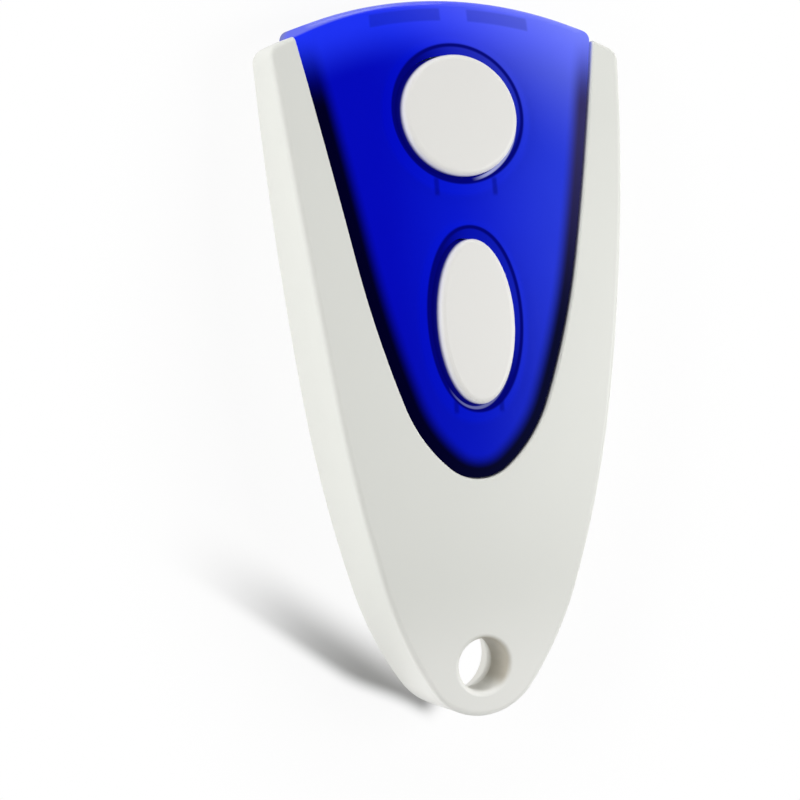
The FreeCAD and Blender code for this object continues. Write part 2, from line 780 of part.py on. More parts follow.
def pocket(body, profile, depth, **settings):
    """A pocket that leaves the sketch plane upwards."""
    return feature(body, "PartDesign::Pocket", f"{profile.Name}Pocket", profile, {"Length": depth},
                   Reversed=True, **settings)


def revolve(body, profile):
    doc.recompute()
    return feature(body, "PartDesign::Revolution", f"{profile.Name}Turn", profile, {},
                   ReferenceAxis=(profile, ["V_Axis"]), Angle=360)


def lifted(sketch, height):
    """Raises a sketch above its body's base plane."""
    bind(sketch, {"AttachmentOffset.Base.z": height})
    return sketch


def repeat_along(body, made, length, count, axis_name="V_Axis"):
    doc.recompute()
    pattern = body.newObject("PartDesign::LinearPattern", f"{made.Name}Row")
    pattern.Originals = [made]
    pattern.Direction = (made.Profile[0], [axis_name])
    bind(pattern, {"Length": length})
    pattern.Occurrences = count
    body.Tip = pattern
    return pattern


def make_switch(shape):
    """One push switch as four pieces: base, snap dome, plunger and metal frame."""
    name = shape.title()
    distance = ROUND if shape == "round" else OVAL
    base = body_at(f"{name}SwitchBase", "0", distance, BOARD_TOP)
    pad(base, rectangle(new_sketch(base, f"{name}BaseSquare"), "switch_side", "switch_side"), SWITCH_BASE)
    for side, sign in (("Right", ""), ("Left", "-")):
        for end, way in (("Upper", ""), ("Lower", "-")):
            leg = new_sketch(base, f"{name}Leg{side}{end}")
            x = f"{sign}(switch_side + switch_leg_length - leg_root) / 2"
            rectangle(leg, "switch_leg_length + leg_root", "switch_leg_width", x, f"{way}switch_leg_offset")
            pad(base, leg, "switch_frame")
    well = lifted(circle(new_sketch(base, f"{name}Well"), "switch_well_radius"), "switch_well_floor")
    pocket(base, well, SWITCH_BASE)

    well_floor = f"{BOARD_TOP} + switch_well_floor"
    dome = body_at(f"{name}SwitchDome", "0", distance, well_floor)
    ring = [
        ("dome_radius", "0"),
        ("dome_radius", "dome_thickness"),
        ("dome_radius / 2", DOME_HEIGHT),
        ("0", DOME_HEIGHT),
        ("0", f"{DOME_HEIGHT} - dome_thickness"),
        ("dome_radius / 2", f"{DOME_HEIGHT} - dome_thickness"),
    ]
    revolve(dome, polygon(new_sketch(dome, f"{name}DomeHalf", "XZ_Plane"), ring))

    plunger = body_at(f"{name}SwitchPlunger", "0", distance, well_floor)
    half = [
        ("0", PLUNGER_FOOT),
        ("switch_well_radius - plunger_gap", PLUNGER_FOOT),
        ("switch_well_radius - plunger_gap", f"{PLUNGER_FOOT} + plunger_flange"),
        ("plunger_radius", f"{PLUNGER_FOOT} + plunger_flange"),
        ("plunger_radius", PLUNGER_TOP),
        ("0", PLUNGER_TOP),
    ]
    revolve(plunger, polygon(new_sketch(plunger, f"{name}PlungerHalf", "XZ_Plane"), half))

    frame = body_at(f"{name}SwitchFrame", "0", distance, f"{BOARD_TOP} + {SWITCH_BASE}")
    side = "switch_side + 2 * switch_frame"
    pad(frame, rectangle(new_sketch(frame, f"{name}FrameSquare"), side, side), "switch_frame")
    for end, way in (("Upper", ""), ("Lower", "-")):
        apron = new_sketch(frame, f"{name}Apron{end}")
        rectangle(apron, "switch_side / 2", "switch_frame", "0", f"{way}(switch_side + switch_frame) / 2")
        pad(frame, apron, "switch_frame_skirt", Reversed=True)
    hole = circle(new_sketch(frame, f"{name}FrameHole"), "plunger_radius + plunger_gap")
    pocket(frame, hole, "2 * switch_frame")
    return base, dome, plunger, frame


def make_coin_cell():
    cell = body_at("CoinCell", "0", CELL, CELL_BOTTOM)
    half = [
        ("0", "0"),
        ("cell_radius - cell_step", "0"),
        ("cell_radius - cell_step", "cell_step_height"),
        ("cell_radius - cell_edge", "cell_step_height"),
        ("cell_radius", "cell_step_height + cell_edge"),
        ("cell_radius", "cell_height - cell_edge"),
        ("cell_radius - cell_edge", "cell_height"),
        ("0", "cell_height"),
    ]
    revolve(cell, polygon(new_sketch(cell, "CellHalf", "XZ_Plane"), half))
    return cell


def make_battery_contact():
    contact = body_at("BatteryContact", "0", CELL, BOARD_TOP)
    square = rectangle(new_sketch(contact, "ContactSquare"), "contact_side", "contact_side")
    pad(contact, square, "contact_thickness")
    return contact


def make_battery_clip():
    """A strap over the cell, from the board below it to the board above it."""
    clip = body_at("BatteryClip", "0", CELL, BOARD_TOP)
    top = "(contact_thickness + cell_height)"
    outside = CELL_END
    inside = "(cell_radius + clip_gap)"
    arch = [
        (f"-{outside}", "0"),
        (f"-{inside}", "0"),
        (f"-{inside}", top),
        (inside, top),
        (inside, "0"),
        (outside, "0"),
        (outside, f"{top} + clip_thickness"),
        (f"-{outside}", f"{top} + clip_thickness"),
    ]
    pad(clip, polygon(new_sketch(clip, "ClipArch", "YZ_Plane"), arch), "clip_width", Midplane=True)
    pocket(clip, circle(new_sketch(clip, "ClipHole"), "clip_hole_radius"), ABOVE)
    return clip


def make_chip(name, x):
    """A moulded chip on two rows of legs."""
    chip = body_at(name, x, f"{OVAL} + chip_from_oval", BOARD_TOP)
    block = rectangle(new_sketch(chip, f"{name}Block"), "chip_width", "chip_length")
    lifted(block, "chip_standoff")
    pad(chip, block, "chip_height")
    row_length = f"chip_leg_pitch * {CHIP_LEGS - 1}"
    reach = "chip_width / 2 + chip_leg_reach"
    shoulder = "chip_standoff + chip_height / 2"
    for side, sign in (("Right", ""), ("Left", "-")):
        start = f"{sign}(chip_width / 2 - leg_root)"
        knee = f"{sign}({reach} - chip_leg_reach / 2)"
        leg = new_sketch(chip, f"{name}Leg{side}", "XZ_Plane")
        foot = f"{sign}({reach})"
        inner_knee = f"{sign}({reach} - chip_leg_reach / 2 - chip_leg_thickness)"
        corners = [
            (foot, "0"),
            (foot, "chip_leg_thickness"),
            (knee, "chip_leg_thickness"),
            (knee, f"{shoulder} + chip_leg_thickness"),
            (start, f"{shoulder} + chip_leg_thickness"),
            (start, shoulder),
            (inner_knee, shoulder),
            (inner_knee, "0"),
        ]
        bind(leg, {"AttachmentOffset.Base.z": f"-{row_length} / 2"})
        polygon(leg, corners)
        made = pad(chip, leg, "chip_leg_width", Midplane=True)
        repeat_along(chip, made, row_length, CHIP_LEGS, "N_Axis")
    return chip


def make_can(name, x, kind):
    """A metal lid on a ceramic base."""
    can = body_at(name, x, f"{OVAL} + {kind}_from_oval", BOARD_TOP)
    pad(can, rectangle(new_sketch(can, f"{name}Base"), f"{kind}_width", f"{kind}_length"), "can_base")
    lid = lifted(new_sketch(can, f"{name}Lid"), "can_base")
    rectangle(lid, f"{kind}_width - can_base", f"{kind}_length - can_base")
    pad(can, lid, f"{kind}_height - can_base")
    return can


def make_trimmer():
    distance = f"{ROUND} + trimmer_from_round"
    base = body_at("TrimmerBase", "trimmer_offset", distance, BOARD_TOP)
    square = rectangle(new_sketch(base, "TrimmerSquare"), "trimmer_side", "trimmer_side")
    pad(base, square, "trimmer_height")
    rotor = body_at("TrimmerRotor", "trimmer_offset", distance, f"{BOARD_TOP} + trimmer_height")
    pad(rotor, circle(new_sketch(rotor, "RotorDisc"), "trimmer_rotor_radius"), "trimmer_rotor_height")
    slot = lifted(new_sketch(rotor, "RotorSlot"), "trimmer_rotor_height / 2")
    pocket(rotor, rectangle(slot, "3 * trimmer_rotor_radius", "trimmer_slot"), "trimmer_rotor_height")
    return base, rotor


def make_transistor():
    body = body_at("Transistor", "-transistor_offset", f"{ROUND} + transistor_from_round", BOARD_TOP)
    block = rectangle(new_sketch(body, "TransistorBlock"), "transistor_width", "transistor_length")
    pad(body, lifted(block, "chip_standoff"), "transistor_height")
    third = "transistor_length / 3"
    legs = (("Collector", "", "0"), ("Base", "-", third), ("Emitter", "-", f"-{third}"))
    for leg_name, sign, y in legs:
        leg = new_sketch(body, f"Transistor{leg_name}")
        rectangle(leg, "transistor_width", "chip_leg_width", f"{sign}transistor_width / 2", y)
        pad(body, leg, "chip_standoff + chip_leg_thickness")
    return body


def make_lamp():
    lamp = body_at("IndicatorLamp", "0", f"({ROUND} + {OVAL}) / 2", BOARD_TOP)
    pad(lamp, rectangle(new_sketch(lamp, "LampBase"), "lamp_width", "lamp_length"), "lamp_height")
    lens = [
        ("0", "lamp_height / 2"),
        ("lamp_dome_radius", "lamp_height / 2"),
        ("lamp_dome_radius", "lamp_height + lamp_dome_radius / 2"),
        ("lamp_dome_radius / 2", "lamp_height + lamp_dome_radius"),
        ("0", "lamp_height + lamp_dome_radius"),
    ]
    revolve(lamp, polygon(new_sketch(lamp, "LampLens", "XZ_Plane"), lens))
    return lamp


def make_small_parts(name, x, height):
    """A row of like chip parts, each with two raised metal ends."""
    row = body_at(name, x, "overall_length - small_from_end", BOARD_TOP)
    middle = new_sketch(row, f"{name}Middle")
    rectangle(middle, "small_length", "small_width")
    made = pad(row, middle, f"{height} - small_end_step")
    repeat_along(row, made, f"small_pitch * {SMALL_COUNT - 1}", SMALL_COUNT)
    for side, sign in (("Right", ""), ("Left", "-")):
        end = new_sketch(row, f"{name}End{side}")
        width = "small_width + 2 * small_end_step"
        rectangle(end, "small_end", width, f"{sign}(small_length - small_end) / 2")
        made = pad(row, end, height)
        repeat_along(row, made, f"small_pitch * {SMALL_COUNT - 1}", SMALL_COUNT)
    return row


def make_housing_screws():
    screws = body_at("HousingScrews", "0", "0", "screw_sink")
    heads = new_sketch(screws, "ScrewHeads")
    shanks = lifted(new_sketch(screws, "ScrewShanks"), "screw_head_height / 2")
    for x, distance in SCREW_SPOTS.values():
        circle(heads, "screw_head_radius", x, distance)
        circle(shanks, "pilot_radius", x, distance)
    pad(screws, heads, "screw_head_height")
    pad(screws, shanks, "screw_head_height / 2 + screw_grip")
    for side, (x, distance) in SCREW_SPOTS.items():
        across = new_sketch(screws, f"SlotAcross{side}")
        along = new_sketch(screws, f"SlotAlong{side}")
        rectangle(across, "screw_slot_length", "screw_slot_width", x, distance)
        rectangle(along, "screw_slot_width", "screw_slot_length", x, distance)
        pocket(screws, across, "screw_slot_depth")
        pocket(screws, along, "screw_slot_depth")
    return screws


nodes = {
    "front_shell": make_front_shell(),
    "rear_cover": make_rear_cover(),
    "blue_cover": make_blue_cover(),
    "round_button": make_button("round"),
    "oval_button": make_button("oval"),
    "circuit_board": make_circuit_board(),
    "antenna_track": make_antenna_track(),
    "coin_cell": make_coin_cell(),
    "battery_contact": make_battery_contact(),
    "battery_clip": make_battery_clip(),
    "encoder_chip": make_chip("Encoder", "-chip_offset"),
    "transmitter_chip": make_chip("Sender", "chip_offset"),
    "saw_resonator": make_can("Resonator", "chip_offset", "can"),
    "crystal": make_can("Crystal", "-chip_offset", "crystal"),
    "transistor": make_transistor(),
    "indicator_lamp": make_lamp(),
    "chip_resistors": make_small_parts("Resistors", "-small_offset", "resistor_height"),
    "chip_capacitors": make_small_parts("Capacitors", "small_offset", "capacitor_height"),
    "housing_screws": make_housing_screws(),
}
nodes["trimmer_base"], nodes["trimmer_rotor"] = make_trimmer()
for button in ("round", "oval"):
    for piece, made in zip(("base", "dome", "plunger", "frame"), make_switch(button)):
        nodes[f"{button}_switch_{piece}"] = made

for node, made in nodes.items():
    made.Label = node
doc.recompute()

for made in doc.Objects:
    if {"Invalid", "Error"} & set(made.State):
        raise RuntimeError(f"{made.Name} failed: {made.State}")
for node, made in nodes.items():
    if made.Shape.isNull() or not made.Shape.isValid():
        raise RuntimeError(f"{node} has no valid shape")

os.makedirs("parts", exist_ok=True)
for node, made in nodes.items():
    made.Shape.exportStep(f"parts/{node}.step")
    print(node, len(made.Shape.Solids), round(made.Shape.Volume, 2))
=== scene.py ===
import json
import math
import bpy
from mathutils import Matrix, Vector


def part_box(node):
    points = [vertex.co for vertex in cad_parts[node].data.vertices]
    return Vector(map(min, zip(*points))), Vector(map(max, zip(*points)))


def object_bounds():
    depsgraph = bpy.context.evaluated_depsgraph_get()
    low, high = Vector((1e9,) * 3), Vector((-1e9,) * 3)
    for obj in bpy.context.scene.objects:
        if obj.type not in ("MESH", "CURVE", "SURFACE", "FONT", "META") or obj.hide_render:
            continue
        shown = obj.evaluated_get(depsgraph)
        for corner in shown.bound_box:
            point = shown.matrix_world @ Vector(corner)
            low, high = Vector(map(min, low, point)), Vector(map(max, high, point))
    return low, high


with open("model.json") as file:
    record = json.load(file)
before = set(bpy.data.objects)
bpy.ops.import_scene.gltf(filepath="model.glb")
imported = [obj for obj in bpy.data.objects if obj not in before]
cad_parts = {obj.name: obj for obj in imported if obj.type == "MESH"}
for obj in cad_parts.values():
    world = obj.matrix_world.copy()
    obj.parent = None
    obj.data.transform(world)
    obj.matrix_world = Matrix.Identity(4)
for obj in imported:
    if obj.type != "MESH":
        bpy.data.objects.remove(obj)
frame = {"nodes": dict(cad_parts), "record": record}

cadLow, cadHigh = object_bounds()
scene = bpy.context.scene
nodes = frame["nodes"]
mm = 0.001
print("frame loaded:", len(nodes), "nodes")


# shader maths: a Field is one value in a material's tree, and a Finish is one material

class Field:
    def __init__(self, finish, socket):
        self.finish = finish
        self.socket = socket

    def maths(self, operation, *values):
        settings = {"operation": operation}
        return self.finish.add("ShaderNodeMath", settings, dict(enumerate(values)))

    def __add__(self, other):
        return self.maths("ADD", self, other)

    def __sub__(self, other):
        return self.maths("SUBTRACT", self, other)

    def __rsub__(self, other):
        return self.maths("SUBTRACT", other, self)

    def __mul__(self, other):
        return self.maths("MULTIPLY", self, other)

    def __truediv__(self, other):
        return self.maths("DIVIDE", self, other)

    def __pow__(self, other):
        return self.maths("POWER", self, other)

    __radd__ = __add__
    __rmul__ = __mul__

    def over(self, other):
        return self.maths("GREATER_THAN", self, other)

    def least(self, other):
        return self.maths("MINIMUM", self, other)

    def most(self, other):
        return self.maths("MAXIMUM", self, other)

    def size(self):
        return self.maths("ABSOLUTE", self)

    def wave(self):
        return self.maths("SINE", self)

    def ramp(self, low, high):
        # 0 below low, 1 above high, with soft ends
        settings = {"interpolation_type": "SMOOTHSTEP"}
        sockets = {"Value": self, "From Min": low, "From Max": high}
        return self.finish.add("ShaderNodeMapRange", settings, sockets)

    def fade(self, low, high):
        return 1.0 - self.ramp(low, high)

    def band(self, low, high, soft):
        # 1 between low and high, falling to 0 over the soft length outside
        return self.ramp(low - soft, low) * self.fade(high, high + soft)

    def between(self, low, high):
        # low where this is 0, and high where it is 1
        return low + self * (high - low)


class Wiring:
    # one node tree, of a material or of the world
    def __init__(self, tree):
        self.tree = tree

    def feed(self, socket, value):
        if isinstance(value, Field):
            self.tree.links.new(value.socket, socket)
        elif isinstance(value, tuple) and len(value) == 3 and socket.type == "RGBA":
            socket.default_value = (*value, 1.0)
        else:
            socket.default_value = value

    def add(self, kind, settings, sockets, output=0):
        # any node: its settings first, then its sockets by name or number
        node = self.tree.nodes.new(kind)
        for key, setting in settings.items():
            setattr(node, key, setting)
        for key, value in sockets.items():
            self.feed(node.inputs[key], value)
        return Field(self, node.outputs[output])

    def ray(self, kind):
        return self.add("ShaderNodeLightPath", {}, {}, kind)

    def split(self, vector):
        return [self.add("ShaderNodeSeparateXYZ", {}, {0: vector}, index) for index in range(3)]


class Finish(Wiring):
    def __init__(self, name):
        self.material = bpy.data.materials.new(name)
        self.material.use_nodes = True
        super().__init__(self.material.node_tree)
        self.shader = self.tree.nodes["Principled BSDF"]
        self.place = self.add("ShaderNodeTexCoord", {}, {}, "Object")

    def set(self, **sockets):
        # Principled sockets, with the spaces left out of their names
        names = {socket.name.replace(" ", ""): socket for socket in self.shader.inputs}
        for key, value in sockets.items():
            self.feed(names[key], value)

    def overlay(self, amount, second):
        # a second shader laid over the first
        first = Field(self, self.shader.outputs[0])
        mixed = self.add("ShaderNodeMixShader", {}, {0: amount, 1: first, 2: second})
        self.feed(self.tree.nodes["Material Output"].inputs["Surface"], mixed)

    def glowingColour(self, tint):
        # a shader that glows with a colour as it is, with no gloss and in any light: painted
        # light, though no lamp
        sockets = {
            "Base Color": black,
            "Specular IOR Level": 0.0,
            "Emission Color": tint,
            "Emission Strength": 1.0,
        }
        return self.add("ShaderNodeBsdfPrincipled", {}, sockets)

    def mix(self, amount, first, second):
        settings = {"data_type": "RGBA"}
        sockets = {0: amount, 6: first, 7: second}
        return self.add("ShaderNodeMix", settings, sockets, 2)

    def tint(self, base, amount):
        # a colour made lighter or darker by a value
        settings = {"operation": "SCALE"}
        return self.add("ShaderNodeVectorMath", settings, {0: base, "Scale": amount})

    def stretched(self, *factors):
        # the place with its axes scaled, for streaks
        settings = {"operation": "MULTIPLY"}
        return self.add("ShaderNodeVectorMath", settings, {0: self.place, 1: factors})

    def noise(self, scale, detail, roughness, at=None):
        sockets = {
            "Vector": at or self.place,
            "Scale": scale,
            "Detail": detail,
            "Roughness": roughness,
        }
        return self.add("ShaderNodeTexNoise", {}, sockets)

    def rings(self, x, y, centre, scale, detail):
        # fine circles round a plan point, as a lathe or a press leaves
        sockets = {"W": self.reach(x, y, centre), "Scale": scale, "Detail": detail}
        return self.add("ShaderNodeTexNoise", {"noise_dimensions": "1D"}, sockets)

    def bump(self, height, distance, strength):
        sockets = {"Height": height, "Distance": distance, "Strength": strength}
        return self.add("ShaderNodeBump", {}, sockets)

    def axes(self):
        return self.split(self.place)

    def reach(self, x, y, centre):
        # plan distance of a point from a centre
        across, along = x - centre[0], y - centre[1]
        return (across * across + along * along) ** 0.5


def colour(red, green, blue):
    # a colour read as 0 to 255 on the screen
    def linear(level):
        level = level / 255
        return level / 12.92 if level <= 0.04045 else ((level + 0.055) / 1.055) ** 2.4
    return linear(red), linear(green), linear(blue)


white = colour(255, 255, 255)
black = colour(0, 0, 0)
keyringHole = (0.0, cadLow.y + 5.1 * mm)  # its centre in plan


# the stage: a plain pale floor, a white horizon under a dim ceiling, and soft lamps

stage = {
    "floorSize": 1.6,
    "floorTone": 0.93,
    "floorRough": 0.6,
    "floorMirror": 0.2,
    "floorDrop": 0.02 * mm,
    # painted shadow: the streak below is drawn on the floor, which also shows its own lit shade
    # there
    "shadeStart": (-3 * mm, -34.8 * mm),  # a streak of shade runs off to the left from the tip
    "shadeTurn": 144.3,
    "shadeIn": (-3 * mm, 0.0),
    "shadeOut": (4 * mm, 34 * mm),
    "shadeLow": (-3 * mm, -1 * mm),
    "shadeHigh": (-0.5 * mm, 4.5 * mm),
    "bendLength": 9 * mm,
    "bendDepth": 1.3 * mm,
    "shadeTone": 0.42,
    "nearGlow": 0.92,
    "nearReach": (24 * mm, 40 * mm),
    "farReach": (1.0, 1.6),
    "holeReach": (3.8 * mm, 4.0 * mm),
    "horizon": 0.7,
    "ceiling": 0.03,
    "ceilingRise": (0.25, 0.75),
}


def paintedFloorShadow(x, y):
    # the streak of painted shadow: soft on its upper side, firmer below, and thinning out along
    # its length
    turn = math.radians(stage["shadeTurn"])
    across, along = x - stage["shadeStart"][0], y - stage["shadeStart"][1]
    run = across * math.cos(turn) + along * math.sin(turn)
    off = across * math.sin(turn) - along * math.cos(turn)
    bend = run.fade(0.0, stage["bendLength"]) * stage["bendDepth"]
    sides = (off - bend).ramp(*stage["shadeLow"]) * off.fade(*stage["shadeHigh"])
    return run.ramp(*stage["shadeIn"]) * run.fade(*stage["shadeOut"]) * sides


def floorGlow(finish, x, y, shade):
    # how white the floor looks: all white far off and in the keyring hole, none in the shade
    wide, long = stage["nearReach"]
    far = finish.reach(x / wide, y / long, (0.0, 0.0)).ramp(*stage["farReach"])
    glow = (1.0 - shade) * far.between(stage["nearGlow"], 1.0)
    hole = finish.reach(x, y, keyringHole).fade(*stage["holeReach"])
    return glow.most(hole)


def makeFloor():
    half = stage["floorSize"] / 2
    mesh = bpy.data.meshes.new("floor")
    corners = [(-half, -half), (half, -half), (half, half), (-half, half)]
    mesh.from_pydata([(x, y, -stage["floorDrop"]) for x, y in corners], [], [(0, 1, 2, 3)])
    floor = bpy.data.objects.new("floor", mesh)
    scene.collection.objects.link(floor)
    finish = Finish("floorPaper")
    x, y = finish.axes()[:2]
    shade = paintedFloorShadow(x, y)
    # the floor's tone is painted darker in the streak, as a painted shadow
    tone = finish.tint(white, stage["floorTone"] - shade * stage["shadeTone"])
    finish.set(BaseColor=tone)
    finish.set(Roughness=stage["floorRough"], SpecularIORLevel=stage["floorMirror"])
    seen = finish.ray("Is Camera Ray").most(finish.ray("Is Glossy Ray"))
    seen = seen.most(finish.ray("Is Transmission Ray"))
    paper = finish.add("ShaderNodeEmission", {}, {"Color": white, "Strength": 1.0})
    finish.overlay(seen * floorGlow(finish, x, y, shade), paper)
    mesh.materials.append(finish.material)


def makeWorld():
    world = bpy.data.worlds.new("studio")
    scene.world = world
    world.use_nodes = True
    sky = Wiring(world.node_tree)
    up = sky.split(sky.add("ShaderNodeTexCoord", {}, {}, "Generated"))[2]
    dim = up.ramp(*stage["ceilingRise"])
    light = dim.between(stage["horizon"], stage["ceiling"])
    mirrored = sky.ray("Is Glossy Ray") * (1.0 - dim)
    plain = sky.ray("Is Camera Ray").most(sky.ray("Is Transmission Ray")).most(mirrored)
    background = world.node_tree.nodes["Background"]
    sky.feed(background.inputs["Color"], white)
    sky.feed(background.inputs["Strength"], light + (1.0 - light) * plain)


lamps = {
    "leftLamp": {"at": (-0.55, 0.05, 0.20), "size": 0.40, "power": 2.3},
    "rightLamp": {"at": (0.165, 0.0, 0.165), "size": 0.12, "power": 0.40},
    "backLamp": {"at": (0.03, 0.40, 0.07), "size": 0.25, "power": 0.50},
}


def makeLamps():
    for name, facts in lamps.items():
        data = bpy.data.lights.new(name, "AREA")
        data.shape = "SQUARE"
        data.size = facts["size"]
        data.energy = facts["power"]
        lamp = bpy.data.objects.new(name, data)
        lamp.location = facts["at"]
        lamp.rotation_euler = (-Vector(facts["at"])).to_track_quat("-Z", "Y").to_euler()
        scene.collection.objects.link(lamp)


# the camera looks down on the buttons from the left, through a long lens

camera = {
    "yaw": 22.0,
    "pitch": 1.99,
    "roll": -1.97,
    "lens": 108.36,
    "sensor": 36.0,
    "nearest": 0.01,
    "offset": (3.648 * mm, -3.703 * mm, 242.74 * mm),
    "centre": (0.0, -0.654 * mm, 0.0),
}


def makeCamera():
    # rows of the turn: right, down and into the picture, in the frame of the object
    turn = (
        Matrix.Rotation(math.radians(camera["roll"]), 3, "Z")
        @ Matrix.Rotation(math.radians(camera["pitch"]), 3, "X")
        @ Matrix(((1, 0, 0), (0, 0, -1), (0, 1, 0)))
        @ Matrix.Rotation(math.radians(camera["yaw"]), 3, "Z")
        @ Matrix(((1, 0, 0), (0, 0, -1), (0, 1, 0)))
    )
    data = bpy.data.cameras.new("camera")
    data.lens = camera["lens"]
    data.sensor_width = camera["sensor"]
    data.clip_start = camera["nearest"]
    eye = bpy.data.objects.new("camera", data)
    right, down, forward = turn
    back = Matrix((right, -down, -forward)).transposed().to_4x4()
    spot = Vector(camera["centre"]) - turn.transposed() @ Vector(camera["offset"])
    eye.matrix_world = Matrix.Translation(spot) @ back
    scene.collection.objects.link(eye)
    scene.camera = eye


makeFloor()
makeWorld()
makeLamps()
makeCamera()
scene.view_settings.view_transform = "Standard"
print("stage, lamps and camera made")


# the blue cover: its outline, its colours, and the rings round the buttons

cover = {
    "tip": cadLow.y + 23.4 * mm,
    "noseRadius": 4.8 * mm,
    "headings": (51.0, 21.0, 11.4),  # in degrees, where each arc of the sides begins
    "radii": (14.7 * mm, 90.0 * mm, 1380.0 * mm),
    "endRadius": 42.0 * mm,
    "endCentre": (0.0, cadLow.y + 28.3 * mm),
    # painted sheen: the blue is deeper on the left and paler to the right
    "leftBlue": colour(3, 9, 193),
    "midBlue": colour(9, 25, 211),
    "leftToMid": (-9 * mm, 0.0),
    "rightBlue": colour(42, 61, 219),
    "midToRight": (-2 * mm, 13 * mm),
    "lowTone": (0.86, 1.0),
    "lowReach": (-9 * mm, 11 * mm),
    # painted light where the end catches it
    "topBlue": colour(32, 54, 255),
    "topReach": (1.2 * mm, 6.2 * mm),
    "topShare": 0.95,
    # a painted reflection of a lamp
    "sheen": colour(156, 168, 255),  # grows towards the upper right corner
    "sheenFrom": cadHigh.y - 3 * mm,
    "sheenLean": 1.3,
    "sheenStart": -8 * mm,
    "sheenLength": 20 * mm,
    "sheenMost": 1.3,
    "sheenShare": 0.43,
    # painted shade along the sides: the walls seen through the plastic in shadow
    "wallLeft": colour(2, 1, 34),
    "wallLow": colour(12, 14, 44),
    "wallHigh": colour(54, 50, 100),
    "wallAcross": (-8 * mm, 8 * mm),
    "wallRise": (1 * mm, 27 * mm),
    "wallWidth": (0.85 * mm, 2.42 * mm),
    "wallEnd": (24.3 * mm, 32.5 * mm),
    "hooks": ((-7.9 * mm, -0.7 * mm), (2.5 * mm, 8.6 * mm)),
    "hookReach": (1.0 * mm, 1.9 * mm),
    "hookSoft": 0.3 * mm,
    "hookShade": 0.26,
    # painted highlight along the end's edge and face
    "rim": colour(108, 118, 244),
    "rimFoot": colour(126, 132, 198),
    "rimRise": (1.0 * mm, 3.5 * mm),
    "rimWidth": 0.08 * mm,
    "rimLean": 0.038,
    "rimEdge": (-0.1 * mm, 0.15 * mm),
    # painted shade in the rings round the buttons
    "ringBlue": colour(3, 4, 112),
    "ringShift": (0.25 * mm, 0.3 * mm),
    "ringSoft": 0.25 * mm,
    "ringShare": 0.95,
    "ringLight": 0.5,  # how much of a ring is lost where it catches the light
    "lightScale": 0.7,
    "lightReach": (0.0, 0.9),
    "outlineWidth": 0.15 * mm,
    "outlineSoft": 0.2 * mm,
    # a painted highlight at a button's foot
    "glint": colour(196, 202, 252),
    "glintTurn": (0.8, 0.95),
    "glintReach": (0.15 * mm, 0.3 * mm),
    "glintSoft": 0.12 * mm,
    "markWidth": (0.08 * mm, 0.4 * mm),
    "markSoft": 0.5 * mm,
    "markShare": 0.5,
    # where the cover glows with its painted colour instead of taking the lamps
    "mattSides": (1.0 * mm, 2.0 * mm),
    "mattRings": (1.4 * mm, 2.0 * mm),
    "haze": (160.0, 4.0, 0.55),  # scale, detail and roughness, as for every noise below
    "hazeTone": (0.97, 1.03),
    "hazeRelief": (0.02 * mm, 0.25),  # depth and strength, as for every relief below
    "scuffs": (900.0, 3.0, 0.6),
    "scuffStreak": (1.0, 0.12, 1.0),
    "scuffReach": (0.45, 0.8),
    "scuffRough": (0.07, 0.13),
    "mirror": 0.3,
    "openings": (  # one for each button, with the side and share of the glint at its foot
        {
            "centre": (0.0, cadLow.y + 58.7 * mm),
            "half": (6.15 * mm, 6.15 * mm),
            "ring": 0.72 * mm,
            "glintSide": (0.72, -0.69),
            "glintShare": 0.6,
        },
        {
            "centre": (0.0, cadLow.y + 38.6 * mm),
            "half": (4.1 * mm, 8.145 * mm),
            "ring": 0.85 * mm,
            "glintSide": (0.2, -0.98),
            "glintShare": 0.25,
        },
    ),
    "marks": (  # two short dark lines under each button
        {"centre": (0.3 * mm, cadLow.y + 51.8 * mm), "length": 0.6 * mm, "apart": 3.08 * mm},
        {"centre": (0.1 * mm, cadLow.y + 30.4 * mm), "length": 0.35 * mm, "apart": 2.4 * mm},
    ),
}


def sideDistance(finish, x, y):
    # how far inside the sides a point of the plan lies: they are arcs, from the nose up
    across = x.size()
    radius = cover["noseRadius"]
    centre = (0.0, cover["tip"] + radius)
    distance = radius - finish.reach(across, y, centre)
    for heading, nextRadius in zip(cover["headings"], cover["radii"]):
        turn = math.radians(heading)
        past = (across - centre[0]) * math.sin(turn) + (y - centre[1]) * math.cos(turn)
        reach = radius - nextRadius
        centre = (centre[0] + reach * math.cos(turn), centre[1] - reach * math.sin(turn))
        radius = nextRadius
        inside = radius - finish.reach(across, y, centre)
        distance = distance + (inside - distance) * past.over(0.0)
    return distance


def outside(x, y, centre, half):
    # how far outside an oval a point of the plan lies
    across, along = (x - centre[0]) / half[0], (y - centre[1]) / half[1]
    scaled = (across * across + along * along) ** 0.5
    slope = ((across / half[0]) ** 2.0 + (along / half[1]) ** 2.0) ** 0.5
    return (scaled - 1.0) * scaled / slope


def coverBlues(finish, x, y, end):
    # deeper on the left and darker low down, paler to the right as a painted sheen, brighter at
    # the end as painted light, and a painted reflection in the upper right corner
    body = finish.mix(x.ramp(*cover["leftToMid"]), cover["leftBlue"], cover["midBlue"])
    body = finish.mix(x.ramp(*cover["midToRight"]), body, cover["rightBlue"])
    body = finish.tint(body, y.ramp(*cover["lowReach"]).between(*cover["lowTone"]))
    body = finish.mix(end.fade(*cover["topReach"]) * cover["topShare"], body, cover["topBlue"])
    # painted reflection growing towards the upper right corner
    slant = x + (y - cover["sheenFrom"]) * cover["sheenLean"]
    lift = (slant - cover["sheenStart"]) / cover["sheenLength"]
    lift = lift.most(0.0).least(cover["sheenMost"])
    return finish.mix(lift * lift * cover["sheenShare"], body, cover["sheen"])


